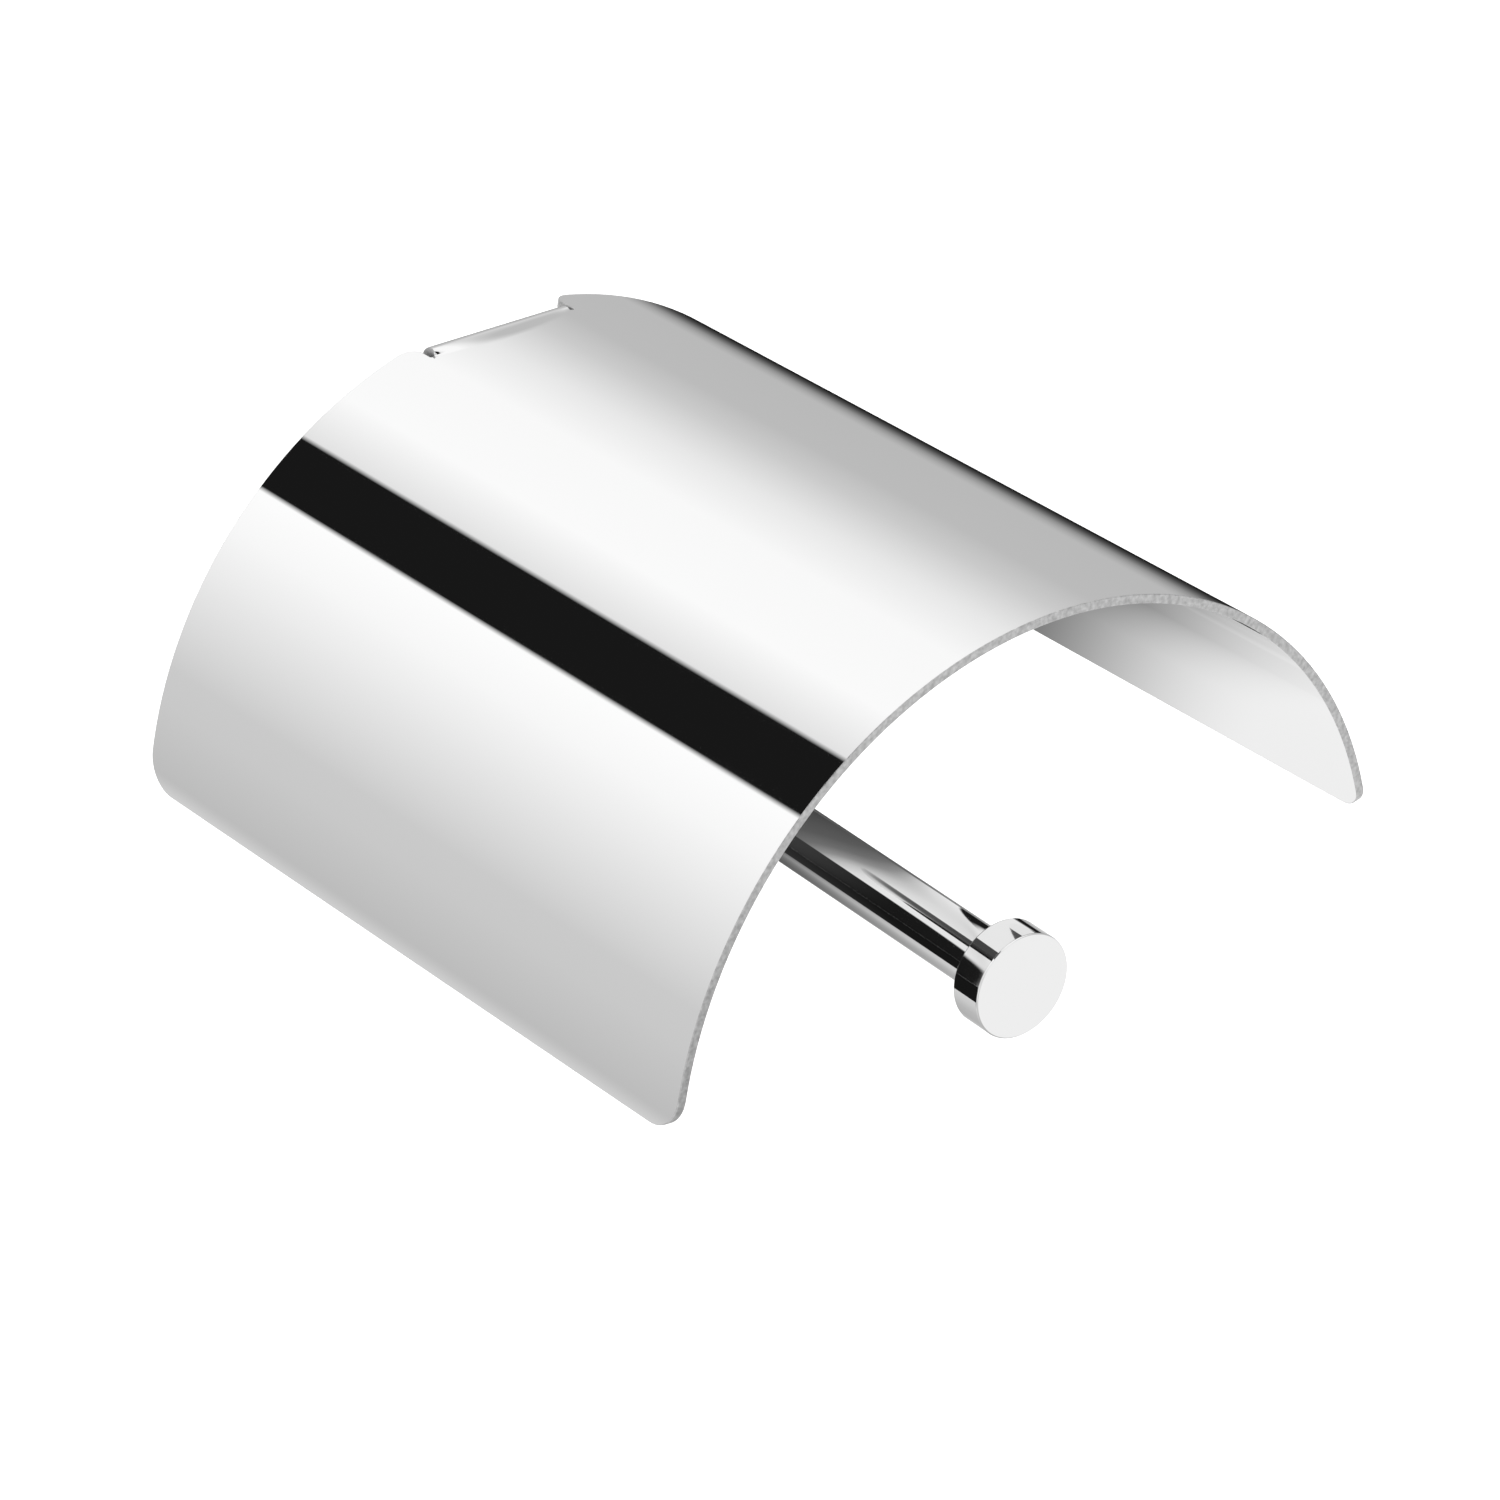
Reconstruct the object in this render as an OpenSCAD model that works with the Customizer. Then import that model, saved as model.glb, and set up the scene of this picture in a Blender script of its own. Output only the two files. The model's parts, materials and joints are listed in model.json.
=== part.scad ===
// Wall-mounted toilet paper holder: a rod with a capped end, carried by a post on the wall,
// and a curved sheet cover that swings up about the rod's root.
//
// Frame: millimetres. The wall is the plane Y = 0 and the holder stands out towards -Y.
// +X runs along the rod to its free end, +Z is up, and the origin is the centre of the
// wall plate. Pieces of the pivot are placed along the rod's own axis, which starts at
// the post and leans out from the wall by rod_toe.

/* [Cover] */
// Outside radius of the curved cover sheet
cover_r = 70; // [66:0.5:84]
// Length of the cover along its curve's axis
cover_len = 135.5; // [110:0.5:165]
// Thickness of the cover sheet
cover_t = 1.5; // [1:0.1:2]
// How far the cover comes down in front, in degrees from its top
cover_front = 84.2; // [60:0.1:95]
// How far the cover comes down behind, in degrees from its top
cover_rear = 79; // [50:1:80]
// Radius of the cover's two front corners
front_corner_r = 6; // [2:0.5:15]
// Radius of the cover's two rear corners
rear_corner_r = 4; // [2:0.5:15]
// How far the curve's axis lies below the rod, so that a hanging roll is central in it
cover_drop = 12.4; // [4:0.2:16]
// How far the curve's axis lies behind the rod's axis at the tab
cover_back = 1.8; // [0:0.1:3]
// How far the cover swings up, in degrees
swing = 80; // [30:1:100]

/* [Hanging tab] */
// Width of the tab that is bent down at the wall end of the cover
tab_w = 26.5; // [22:0.5:34]
// How far the tab's outer face lies inside the end of the cover
tab_inset = 2.2; // [1:0.1:5]
// Inside radius of the tab's bend
bend_r = 1.5; // [0.8:0.1:3]
// Relief cut on each side of the tab
relief = 0.8; // [0.4:0.1:2]
// Radius of the two corners where the relief notch meets the end of the cover
notch_mouth_r = 3; // [0.5:0.1:4]

/* [Rod and end cap] */
// Diameter of the rod
rod_d = 10; // [9:0.5:14]
// Angle by which the rod leans out from the wall
rod_toe = 2.5; // [0:0.1:4]
// Diameter of the end cap
cap_d = 17.4; // [14:0.2:24]
// Length of the end cap
cap_len = 5.8; // [4:0.2:10]
// How far the end cap stands out past the cover
cap_out = 6; // [0:0.5:20]
// Chamfer round both rims of the end cap
cap_chamfer = 0.2; // [0.1:0.1:1]
// Depth of the seat in the cap that takes the end of the rod
cap_seat = 1.2; // [0.5:0.1:2]

/* [Pivot] */
// Diameter of the threaded stud that ties the rod to the spindle
stud_d = 6; // [5:0.5:7]
// Depth of thread that the tie stud takes in the rod
stud_grip = 12; // [8:0.5:20]
// Diameter of the threaded stud that holds the end cap
cap_stud_d = 5; // [4:0.5:6]
// Depth of thread that the cap stud takes in the rod
cap_stud_grip = 9; // [6:0.5:15]
// Diameter of the spindle's shank, which is held in the post
spindle_d = 12; // [10:0.5:14]
// Diameter of the spindle's head, which the cover bears on
spindle_head_d = 18; // [17:0.5:22]
// Length of the spindle's head
spindle_head = 5; // [4:0.5:8]
// Wall of the plastic bush in the tab
bush_wall = 1; // [0.6:0.1:1.5]
// Diameter of the bush's flange
bush_flange_d = 11; // [10:0.2:11.4]
// Thickness of the bush's flange
bush_flange = 0.8; // [0.5:0.1:1.5]
// Diameter of the washers on the rod's side of the tab
washer_d = 13; // [11:0.5:16]
// Thickness of the plastic friction washer
friction_washer_t = 0.8; // [0.5:0.1:1.5]
// Thickness of the disc spring's metal
spring_t = 0.4; // [0.3:0.1:0.6]
// Height of the disc spring's cone
spring_cone = 0.5; // [0.3:0.1:0.8]
// Thickness of the steel backing washer
backing_washer_t = 1; // [0.6:0.1:2]
// Diameter of the stop pin
stop_pin_d = 2; // [1.5:0.1:2.2]
// Radius at which the stop pin stands from the rod's axis
stop_circle_r = 7.2; // [7:0.1:7.5]
// Depth of the stop pin in the spindle's head
stop_pin_grip = 3.5; // [2:0.5:4]

/* [Post and wall plate] */
// How much further the rod's axis stands from the wall than the cover's radius
wall_gap = 2.5; // [2:0.5:30]
// Diameter of the post
post_d = 20; // [18:0.5:24]
// How far the post runs on past the rod's axis
post_front = 11; // [9:0.5:16]
// Chamfer round the post's front end
post_chamfer = 1; // [0.2:0.1:2]
// Gap behind the post that leaves room for the heads of the wall screws
head_room = 7; // [6:0.5:10]
// Diameter of the wall stub that the post slides over
stub_d = 12; // [10:0.5:13]
// Length of the wall stub
stub_len = 16; // [14:0.5:24]
// Diameter of the wall plate
plate_d = 33; // [31:0.5:35]
// Thickness of the wall plate
plate_t = 3; // [2.6:0.1:4]
// Distance between the two wall screw holes
screw_pitch = 22; // [21.5:0.5:23]
// Diameter of the wall screw holes
screw_hole_d = 5; // [4:0.1:5.5]
// Diameter of the countersunk screw that holds the stub on the plate
stub_screw_d = 4; // [3:0.5:5]
// Length of that screw
stub_screw_len = 11; // [8:0.5:14]

/* [Rosette] */
// Diameter of the rosette that hides the wall plate
rosette_d = 40; // [39:0.5:60]
// Depth of the rosette, gasket included
rosette_depth = 9; // [8.5:0.1:14]
// Wall of the rosette
rosette_wall = 2; // [1.6:0.1:2.2]
// Rounding of the rosette's front rim
rosette_round = 1.4; // [0.4:0.1:1.5]
// Thickness of the gasket between the rosette and the wall
gasket_t = 0.8; // [0.4:0.1:1.5]
// Diameter of the O-ring's section
o_ring_d = 1.2; // [1:0.1:1.4]

/* [Set screws] */
// Diameter of both set screws
set_d = 5; // [4:0.5:6]
// Diameter of their dog points
set_point_d = 2.8; // [2:0.1:3.2]
// Width across the flats of their hexagon sockets
set_socket = 2.5; // [2:0.1:3]
// Depth of their hexagon sockets
set_socket_depth = 2; // [1:0.1:2.5]
// Depth of the grooves that their points stand in
groove_depth = 0.9; // [0.5:0.1:1]

/* [Clearances] */
// Running clearance of the bush on the stud, on the radius
run_gap = 0.05; // [0.02:0.01:0.1]
// Clearance of a thread, spigot or pressed pin in its hole, on the radius
fit_gap = 0.02; // [0.01:0.01:0.05]
// Clearance of the rosette on the post, on the radius
slide_gap = 0.1; // [0.05:0.01:0.2]
// Clearance of the stop pin in the tab's slot, on the radius
slot_gap = 0.15; // [0.1:0.05:0.3]
// Gap between the rosette's rim and the sweep of the cover's end
edge_gap = 2; // [1:0.5:6]

/* [Hidden] */
$fn = 96;

chrome = "silver";
steel = "lightgray";
plastic = "ivory";
rubber = "dimgray";

// Distance from the wall to the rod's axis at the post, which clears the swinging cover
reach = cover_r + wall_gap;

// The cover's curve and ends
inner_r = cover_r - cover_t;
corner_slack = 0.02;
cover_x0 = rosette_d / 2 + edge_gap;
cover_x1 = cover_x0 + cover_len;

// Places along the rod's axis, from the post's axis outwards
tab_s = (cover_x0 + tab_inset) / cos(rod_toe);
spindle_s1 = tab_s - bush_flange;
spindle_head_s = spindle_s1 - spindle_head;
spindle_s0 = -spindle_d / 2;
tab_in_s = tab_s + cover_t;
spring_s = tab_in_s + friction_washer_t;
backing_s = spring_s + spring_t + spring_cone;
rod_s0 = backing_s + backing_washer_t;
cap_s1 = (cover_x1 + cap_out) / cos(rod_toe);
cap_s0 = cap_s1 - cap_len;
rod_s1 = cap_s0 + cap_seat - fit_gap;

// The curve's axis in the frame, and the tab's top above the rod's axis
axis_y = -reach - tab_s * sin(rod_toe) + cover_back;
axis_z = -cover_drop;
tab_half = tab_w / 2;
tongue_z = cover_r - cover_drop - (cover_r - sqrt(pow(cover_r, 2) - pow(tab_half, 2))) / 2;
bend_out_r = bend_r + cover_t;
bend_s = tab_s + bend_out_r;
tongue_flat = 0.6;
tongue_lap = 1.2;
notch_floor_s = bend_s + tongue_flat;

// Fits
bush_r = stud_d / 2 + run_gap + bush_wall;
slot_half = stop_pin_d / 2 + slot_gap;
slot_end = asin(slot_half / stop_circle_r);
thread_end = 1.5;
cap_face_t = 1.6;
hole_over = 1;

// Wall end of the post
post_y1 = -head_room;
stub_y1 = -plate_t;
stub_y0 = stub_y1 - stub_len;
socket_end = 1;
wall_set_y = (stub_y0 + post_y1) / 2;
groove_w = set_point_d + 0.4;
set_sink = 0.4;
rosette_y0 = -rosette_depth;
o_ring_y = rosette_y0 + rosette_wall / 2;
screw_head_r = stub_screw_d;
far = 4 * cover_r;

// Places children at s along the rod's axis, with +X along the rod
module on_rod(s = 0) {
    translate([0, -reach, 0])
        rotate([0, 0, -rod_toe])
            translate([s, 0, 0])
                children();
}

// A round bar along +X from x0 to x1
module bar_x(r, x0, x1) {
    translate([x0, 0, 0]) rotate([0, 90, 0]) cylinder(r = r, h = x1 - x0);
}

// A round bar along Y from y0 to y1
module bar_y(r, y0, y1) {
    translate([0, y1, 0]) rotate([90, 0, 0]) cylinder(r = r, h = y1 - y0);
}

// A ring along +X, from x = 0 to x = t
module ring_x(r_out, r_in, t) {
    difference() {
        bar_x(r_out, 0, t);
        bar_x(r_in, -hole_over, t + hole_over);
    }
}

// Turns a profile of (radius, height) pairs about +X, with height along +X
module turn_x(profile) {
    rotate([0, 90, 0]) rotate_extrude() polygon(profile);
}

// Turns a profile of (radius, depth) pairs about Y, with depth towards -Y
module turn_y(profile) {
    rotate([90, 0, 0]) rotate_extrude() polygon(profile);
}

// Extrudes a flat shape drawn in Y and Z by t along +X
module plate_x(t) {
    rotate([90, 0, 90]) linear_extrude(t) children();
}

// The point at radius r and angle a from straight up, positive towards the wall
function on_arc(r, a) = [r * sin(a), r * cos(a)];

// A sector of the plane of Y and Z between two such angles, past anything it cuts
module sector(a0, a1) {
    steps = 6;
    polygon([[0, 0], for (i = [0:steps]) on_arc(far, a0 + (a1 - a0) * i / steps)]);
}

// The cover's section, about the curve's axis
module cover_section() {
    intersection() {
        difference() {
            circle(r = cover_r, $fn = 180);
            circle(r = inner_r, $fn = 180);
        }
        sector(-cover_front, cover_rear);
    }
}

// What rounds off one lower corner: end is 0 for the wall end and 1 for the rod's free end,
// side is -1 for the front edge and 1 for the rear edge
module corner_cut(end, side) {
    edge = side < 0 ? cover_front : cover_rear;
    r = side < 0 ? front_corner_r : rear_corner_r;
    centre_in = r - corner_slack;
    x_edge = end == 0 ? cover_x0 : cover_x1;
    inward = end == 0 ? 1 : -1;
    over = 3;
    size = r + over;
    rotate([-side * edge, 0, 0])
        translate([x_edge + inward * centre_in, -side * centre_in, inner_r - over])
            linear_extrude(cover_t + 2 * over)
                difference() {
                    translate([end == 0 ? -size : 0, side < 0 ? -size : 0]) square(size);
                    circle(r = r);
                }
}

// The notch in the wall end of the cover that the tab is bent down from, seen from above
// and placed about the tab
module notch_shape() {
    half = tab_half + relief;
    centre_y = -reach - tab_s * sin(rod_toe);
    intersection() {
        translate([0, centre_y])
            union() {
                translate([0, -half]) square([far, 2 * half]);
                for (side = [-1, 1])
                    translate([cover_x0, side * half])
                        difference() {
                            translate([-notch_mouth_r, -notch_mouth_r])
                                square([2 * notch_mouth_r, 2 * notch_mouth_r]);
                            translate([notch_mouth_r, side * notch_mouth_r])
                                circle(r = notch_mouth_r);
                            translate([notch_mouth_r, -far]) square(2 * far);
                        }
            }
        translate([0, -reach])
            rotate([0, 0, -rod_toe])
                translate([notch_floor_s - far, -far / 2])
                    square([far, far]);
    }
}

// The bend and the short flat tongue that joins it to the curved sheet
module tab_bend() {
    translate([0, tab_half, 0])
        rotate([90, 0, 0])
            linear_extrude(tab_w)
                union() {
                    translate([bend_s, tongue_z - cover_t]) square([tongue_flat + tongue_lap, cover_t]);
                    translate([bend_s, tongue_z - bend_out_r])
                        intersection() {
                            difference() {
                                circle(r = bend_out_r);
                                circle(r = bend_r);
                            }
                            translate([-bend_out_r, 0]) square(bend_out_r);
                        }
                }
}

// The tab's flat face: a round end about the pivot, its bush hole and the stop slot
module tab_face() {
    difference() {
        union() {
            circle(r = tab_half);
            translate([-tab_half, 0]) square([tab_w, tongue_z - bend_out_r]);
        }
        circle(r = bush_r);
        intersection() {
            difference() {
                circle(r = stop_circle_r + slot_half);
                circle(r = stop_circle_r - slot_half);
            }
            sector(90 - swing - slot_end, 90 + slot_end);
        }
    }
}

module cover() {
    color(chrome)
        union() {
            difference() {
                translate([0, axis_y, axis_z])
                    difference() {
                        translate([cover_x0, 0, 0]) plate_x(cover_len) cover_section();
                        for (end = [0, 1], side = [-1, 1]) corner_cut(end, side);
                    }
                translate([0, 0, tongue_z / 2]) linear_extrude(cover_r) notch_shape();
            }
            on_rod() tab_bend();
            on_rod(tab_s) plate_x(cover_t) tab_face();
        }
}

module pivot_bush() {
    color(plastic)
        on_rod(spindle_s1)
            difference() {
                union() {
                    bar_x(bush_flange_d / 2, 0, bush_flange);
                    bar_x(bush_r, 0, bush_flange + cover_t);
                }
                bar_x(stud_d / 2 + run_gap, -hole_over, bush_flange + cover_t + hole_over);
            }
}

module rod() {
    color(chrome)
        on_rod()
            difference() {
                bar_x(rod_d / 2, rod_s0, rod_s1);
                bar_x(stud_d / 2 + fit_gap, rod_s0 - hole_over, rod_s0 + stud_grip + thread_end);
                bar_x(cap_stud_d / 2 + fit_gap, rod_s1 - cap_stud_grip - thread_end, rod_s1 + hole_over);
            }
}

module end_cap() {
    r = cap_d / 2;
    c = cap_chamfer;
    color(chrome)
        on_rod(cap_s0)
            difference() {
                turn_x([[0, 0], [r - c, 0], [r, c], [r, cap_len - c], [r - c, cap_len], [0, cap_len]]);
                bar_x(rod_d / 2 + fit_gap, -hole_over, cap_seat);
                bar_x(cap_stud_d / 2 + fit_gap, 0, cap_len - cap_face_t);
            }
}

module cap_stud() {
    color(steel)
        on_rod()
            bar_x(cap_stud_d / 2, rod_s1 - cap_stud_grip, cap_s1 - cap_face_t - thread_end / 3);
}

module tie_stud() {
    color(steel)
        on_rod()
            bar_x(stud_d / 2, spindle_d / 2 + thread_end, rod_s0 + stud_grip);
}

module backing_washer() {
    color(steel) on_rod(backing_s) ring_x(washer_d / 2, stud_d / 2 + slide_gap, backing_washer_t);
}

module disc_spring() {
    r_in = stud_d / 2 + slide_gap;
    r_out = washer_d / 2;
    color(steel)
        on_rod(spring_s)
            turn_x([[r_in, spring_cone], [r_out, 0], [r_out, spring_t], [r_in, spring_cone + spring_t]]);
}

module friction_washer() {
    color(plastic)
        on_rod(tab_in_s) ring_x(washer_d / 2, stud_d / 2 + slide_gap, friction_washer_t);
}

module spindle() {
    r = spindle_d / 2;
    groove = r - groove_depth;
    color(chrome)
        on_rod()
            difference() {
                turn_x([
                    [0, spindle_s0], [r, spindle_s0], [r, -groove_w / 2], [groove, -groove_w / 2],
                    [groove, groove_w / 2], [r, groove_w / 2], [r, spindle_head_s],
                    [spindle_head_d / 2, spindle_head_s], [spindle_head_d / 2, spindle_s1], [0, spindle_s1]
                ]);
                bar_x(stud_d / 2 + fit_gap, r, spindle_s1 + hole_over);
                translate([0, stop_circle_r, 0])
                    bar_x(stop_pin_d / 2 + fit_gap, spindle_s1 - stop_pin_grip, spindle_s1 + hole_over);
            }
}

module stop_pin() {
    color(steel)
        on_rod()
            translate([0, stop_circle_r, 0])
                bar_x(stop_pin_d / 2, spindle_s1 - stop_pin_grip, tab_in_s - slot_gap);
}

// One set screw standing upright on its point at z = -tip, its socket down and sunk in a bar
module set_screw(tip, bar_r) {
    body_z0 = -bar_r + set_sink;
    body_z1 = -tip - groove_depth;
    difference() {
        union() {
            translate([0, 0, body_z0]) cylinder(d = set_d, h = body_z1 - body_z0);
            translate([0, 0, body_z0]) cylinder(d = set_point_d, h = -tip - body_z0);
        }
        translate([0, 0, body_z0 - hole_over])
            cylinder(d = set_socket / cos(30), h = set_socket_depth + hole_over, $fn = 6);
    }
}

module set_screws() {
    color(steel) {
        translate([0, wall_set_y, 0]) set_screw(stub_d / 2 - groove_depth, post_d / 2);
        on_rod() set_screw(spindle_d / 2 - groove_depth, post_d / 2);
    }
}

module post() {
    r = post_d / 2;
    c = post_chamfer;
    front = reach + post_front;
    ring_r = r + slide_gap - o_ring_d;
    ring_half = o_ring_d / 2 + slide_gap;
    color(chrome)
        difference() {
            turn_y([
                [0, head_room], [r, head_room], [r, -o_ring_y - ring_half], [ring_r, -o_ring_y - ring_half],
                [ring_r, -o_ring_y + ring_half], [r, -o_ring_y + ring_half], [r, front - c],
                [r - c, front], [0, front]
            ]);
            bar_y(stub_d / 2 + fit_gap, stub_y0 - socket_end, 0);
            on_rod() bar_x(spindle_d / 2 + fit_gap, spindle_s0, post_d);
            for (y = [wall_set_y, -reach])
                translate([0, y, -post_d]) cylinder(d = set_d + 2 * fit_gap, h = post_d);
        }
}

module wall_stub() {
    r = stub_d / 2;
    groove = r - groove_depth;
    color(steel)
        difference() {
            turn_y([
                [0, plate_t], [r, plate_t], [r, -wall_set_y - groove_w / 2],
                [groove, -wall_set_y - groove_w / 2], [groove, -wall_set_y + groove_w / 2],
                [r, -wall_set_y + groove_w / 2], [r, -stub_y0], [0, -stub_y0]
            ]);
            bar_y(stub_screw_d / 2 + fit_gap, -stub_screw_len - thread_end, 0);
        }
}

// The countersunk screw's profile, grown on the radius by gap, to length len
function stub_screw_profile(gap, len) = [
    [0, 0], [screw_head_r + gap, 0], [stub_screw_d / 2 + gap, screw_head_r - stub_screw_d / 2],
    [stub_screw_d / 2 + gap, len], [0, len]
];

module stub_screw() {
    color(steel)
        difference() {
            turn_y(stub_screw_profile(0, stub_screw_len));
            rotate([90, 0, 0])
                translate([0, 0, -hole_over])
                    cylinder(d = set_socket / cos(30), h = set_socket_depth / 2 + hole_over, $fn = 6);
        }
}

module wall_plate() {
    color(steel)
        difference() {
            bar_y(plate_d / 2, -plate_t, 0);
            turn_y(stub_screw_profile(fit_gap, plate_t + hole_over));
            for (side = [-1, 1])
                translate([0, 0, side * screw_pitch / 2])
                    bar_y(screw_hole_d / 2, -plate_t - hole_over, hole_over);
        }
}

module rosette() {
    r = rosette_d / 2;
    k = rosette_round;
    color(chrome)
        difference() {
            rotate([90, 0, 0])
                rotate_extrude()
                    difference() {
                        translate([0, gasket_t]) square([r, rosette_depth - gasket_t]);
                        translate([r - k, rosette_depth - k])
                            difference() {
                                square(2 * k);
                                circle(r = k, $fn = 48);
                            }
                    }
            bar_y(r - rosette_wall, rosette_y0 + rosette_wall, hole_over);
            bar_y(post_d / 2 + slide_gap, rosette_y0 - hole_over, 0);
        }
}

module rosette_gasket() {
    r = rosette_d / 2;
    color(rubber)
        difference() {
            bar_y(r - slide_gap, -gasket_t, 0);
            bar_y(r - rosette_wall - slide_gap, -gasket_t - hole_over, hole_over);
        }
}

module rosette_o_ring() {
    color(rubber)
        translate([0, o_ring_y, 0])
            rotate([90, 0, 0])
                rotate_extrude()
                    translate([(post_d - o_ring_d) / 2 + slide_gap, 0])
                        circle(d = o_ring_d, $fn = 48);
}

cover();
pivot_bush();
rod();
end_cap();
cap_stud();
tie_stud();
backing_washer();
disc_spring();
friction_washer();
spindle();
stop_pin();
post();
set_screws();
wall_stub();
stub_screw();
wall_plate();
rosette();
rosette_gasket();
rosette_o_ring();
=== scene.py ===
# Toilet paper holder for a wall: a polished rod with a capped end on a round post, under a
# curved sheet cover that swings up about the rod's root.
#
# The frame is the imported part's own, in metres: the wall is the plane Y = 0, the holder stands
# out towards -Y, +X runs along the rod to its free end and +Z is up.

import json
import math
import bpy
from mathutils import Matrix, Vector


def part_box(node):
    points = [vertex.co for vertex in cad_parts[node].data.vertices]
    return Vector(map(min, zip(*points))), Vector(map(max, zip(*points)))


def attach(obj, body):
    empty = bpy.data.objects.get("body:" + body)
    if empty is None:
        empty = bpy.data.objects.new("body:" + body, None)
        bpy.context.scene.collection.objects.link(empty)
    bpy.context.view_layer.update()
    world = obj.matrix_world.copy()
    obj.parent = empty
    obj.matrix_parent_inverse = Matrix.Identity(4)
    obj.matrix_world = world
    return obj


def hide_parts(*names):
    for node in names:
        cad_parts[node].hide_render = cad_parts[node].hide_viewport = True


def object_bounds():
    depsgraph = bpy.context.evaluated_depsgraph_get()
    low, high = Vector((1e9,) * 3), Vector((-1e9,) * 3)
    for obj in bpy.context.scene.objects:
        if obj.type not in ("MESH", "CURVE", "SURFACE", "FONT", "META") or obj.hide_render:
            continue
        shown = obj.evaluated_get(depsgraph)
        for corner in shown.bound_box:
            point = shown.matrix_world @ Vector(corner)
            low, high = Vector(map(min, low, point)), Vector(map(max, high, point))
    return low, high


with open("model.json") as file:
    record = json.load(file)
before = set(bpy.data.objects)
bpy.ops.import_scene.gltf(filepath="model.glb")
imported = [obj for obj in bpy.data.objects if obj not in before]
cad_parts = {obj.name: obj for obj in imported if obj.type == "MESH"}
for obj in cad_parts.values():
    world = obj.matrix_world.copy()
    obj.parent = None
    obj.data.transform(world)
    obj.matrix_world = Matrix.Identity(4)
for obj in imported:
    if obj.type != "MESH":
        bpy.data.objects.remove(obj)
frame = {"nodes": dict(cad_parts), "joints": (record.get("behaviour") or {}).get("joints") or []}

from types import SimpleNamespace

import bmesh
import bpy
from bpy.props import FloatProperty, FloatVectorProperty, IntProperty, PointerProperty
from mathutils import Matrix, Vector

bl_info = {
    "name": "Toilet Paper Holder",
    "version": (1, 0, 0),
    "blender": (4, 5, 0),
    "location": "View3D > Sidebar > Holder",
    "description": "Builds a chromed toilet paper holder with a swinging cover round its packed CAD part",
    "category": "Add Mesh",
}

CAD_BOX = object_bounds()
MM = 0.001
SLACK = 0.01  # millimetres that rounding errors may reach
SWING = frame["joints"][0]
PIVOT = Vector(SWING["pos_m"])
ALONG = -Vector(SWING["axis"]).normalized()
ACROSS = Vector((0, 0, 1)).cross(ALONG)
UP = Vector((0, 0, 1))
WALL_TO_ROD = -(PIVOT.y - PIVOT.x * ALONG.y / ALONG.x)
ROD_ROOT = Vector((0, -WALL_TO_ROD, 0))


def linear(hex_colour, alpha=True):
    """A colour written as sRGB hex, as the linear values that shaders take."""
    values = [int(hex_colour[i:i + 2], 16) / 255 for i in (1, 3, 5)]
    rgb = [v / 12.92 if v <= 0.04045 else ((v + 0.055) / 1.055) ** 2.4 for v in values]
    return (*rgb, 1.0) if alpha else tuple(rgb)


def length(name, description, default_mm):
    """A length property with its default in millimetres."""
    return FloatProperty(name=name, description=description, default=default_mm * MM,
                         min=0.0, precision=4, unit="LENGTH")


def angle(name, description, default_degrees):
    """An angle property with its default in degrees."""
    return FloatProperty(name=name, description=description, default=math.radians(default_degrees),
                         unit="ROTATION")


def colour(name, description, hex_colour):
    """A colour property with its default in sRGB hex."""
    return FloatVectorProperty(name=name, description=description, subtype="COLOR", size=3,
                               min=0.0, max=1.0, default=linear(hex_colour, alpha=False))


class HolderCoverSizes(bpy.types.PropertyGroup):
    """Sizes of the curved cover and its hanging tab."""
    front: angle("Front", "How far the cover comes down in front, from its top", 84.2)
    rear: angle("Rear", "How far the cover comes down behind, from its top", 79)
    sheet: length("Sheet", "Thickness of the sheet", 1.5)
    front_corner: length("Front corners", "Radius of the two front corners", 6)
    rear_corner: length("Rear corners", "Radius of the two rear corners", 4)
    tab_width: length("Tab width", "Width of the tab that hangs on the pivot", 26.5)
    bend: length("Bend", "Inside radius of the tab's bend", 1.5)
    tongue: length("Tongue", "Flat left between the bend and the notch's floor", 0.6)
    flattening: length("Flattening", "How far the curve goes flat before the bend", 5)
    relief: length("Relief", "Slot cut on each side of the tab", 0.8)
    mouth: length("Mouth", "Radius where the relief slots meet the end of the cover", 3)
    bush_hole: length("Bush hole", "Radius of the hole for the bush", 4.05)
    slot_circle: length("Slot circle", "Radius at which the stop slot runs round the pivot", 7.2)
    slot_half: length("Slot half width", "Half the width of the stop slot", 1.15)
    edge: length("Edge", "Rounding left on the cut edges by deburring", 0.15)


class HolderTurnedSizes(bpy.types.PropertyGroup):
    """Sizes of the rod and its end cap, which are turned and polished."""
    rod: length("Rod", "Radius of the rod", 5)
    cap: length("Cap", "Radius of the end cap", 8.7)
    cap_length: length("Cap length", "Length of the end cap", 5.8)
    cap_face: length("Cap face", "Thickness left in front of the cap's thread", 1.6)
    seat: length("Seat", "Depth of the seat in the cap that takes the rod", 1.2)
    fit: length("Fit", "Gap round the rod's end in its seat", 0.02)
    cap_thread: length("Cap thread", "Radius of the cap stud's thread", 2.52)
    cap_thread_depth: length("Cap thread depth", "Depth of that thread in the rod", 10.5)
    tie_thread: length("Tie thread", "Radius of the tie stud's thread", 3.02)
    tie_thread_depth: length("Tie thread depth", "Depth of that thread in the rod", 13.5)
    edge: length("Edge", "Rounding that polishing leaves on turned edges", 0.25)
    bore_edge: length("Bore edge", "Rounding on the edges of bores", 0.05)
    segments: IntProperty(name="Segments", description="Faces round a turned piece", default=160,
                          min=24, max=512)


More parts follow.
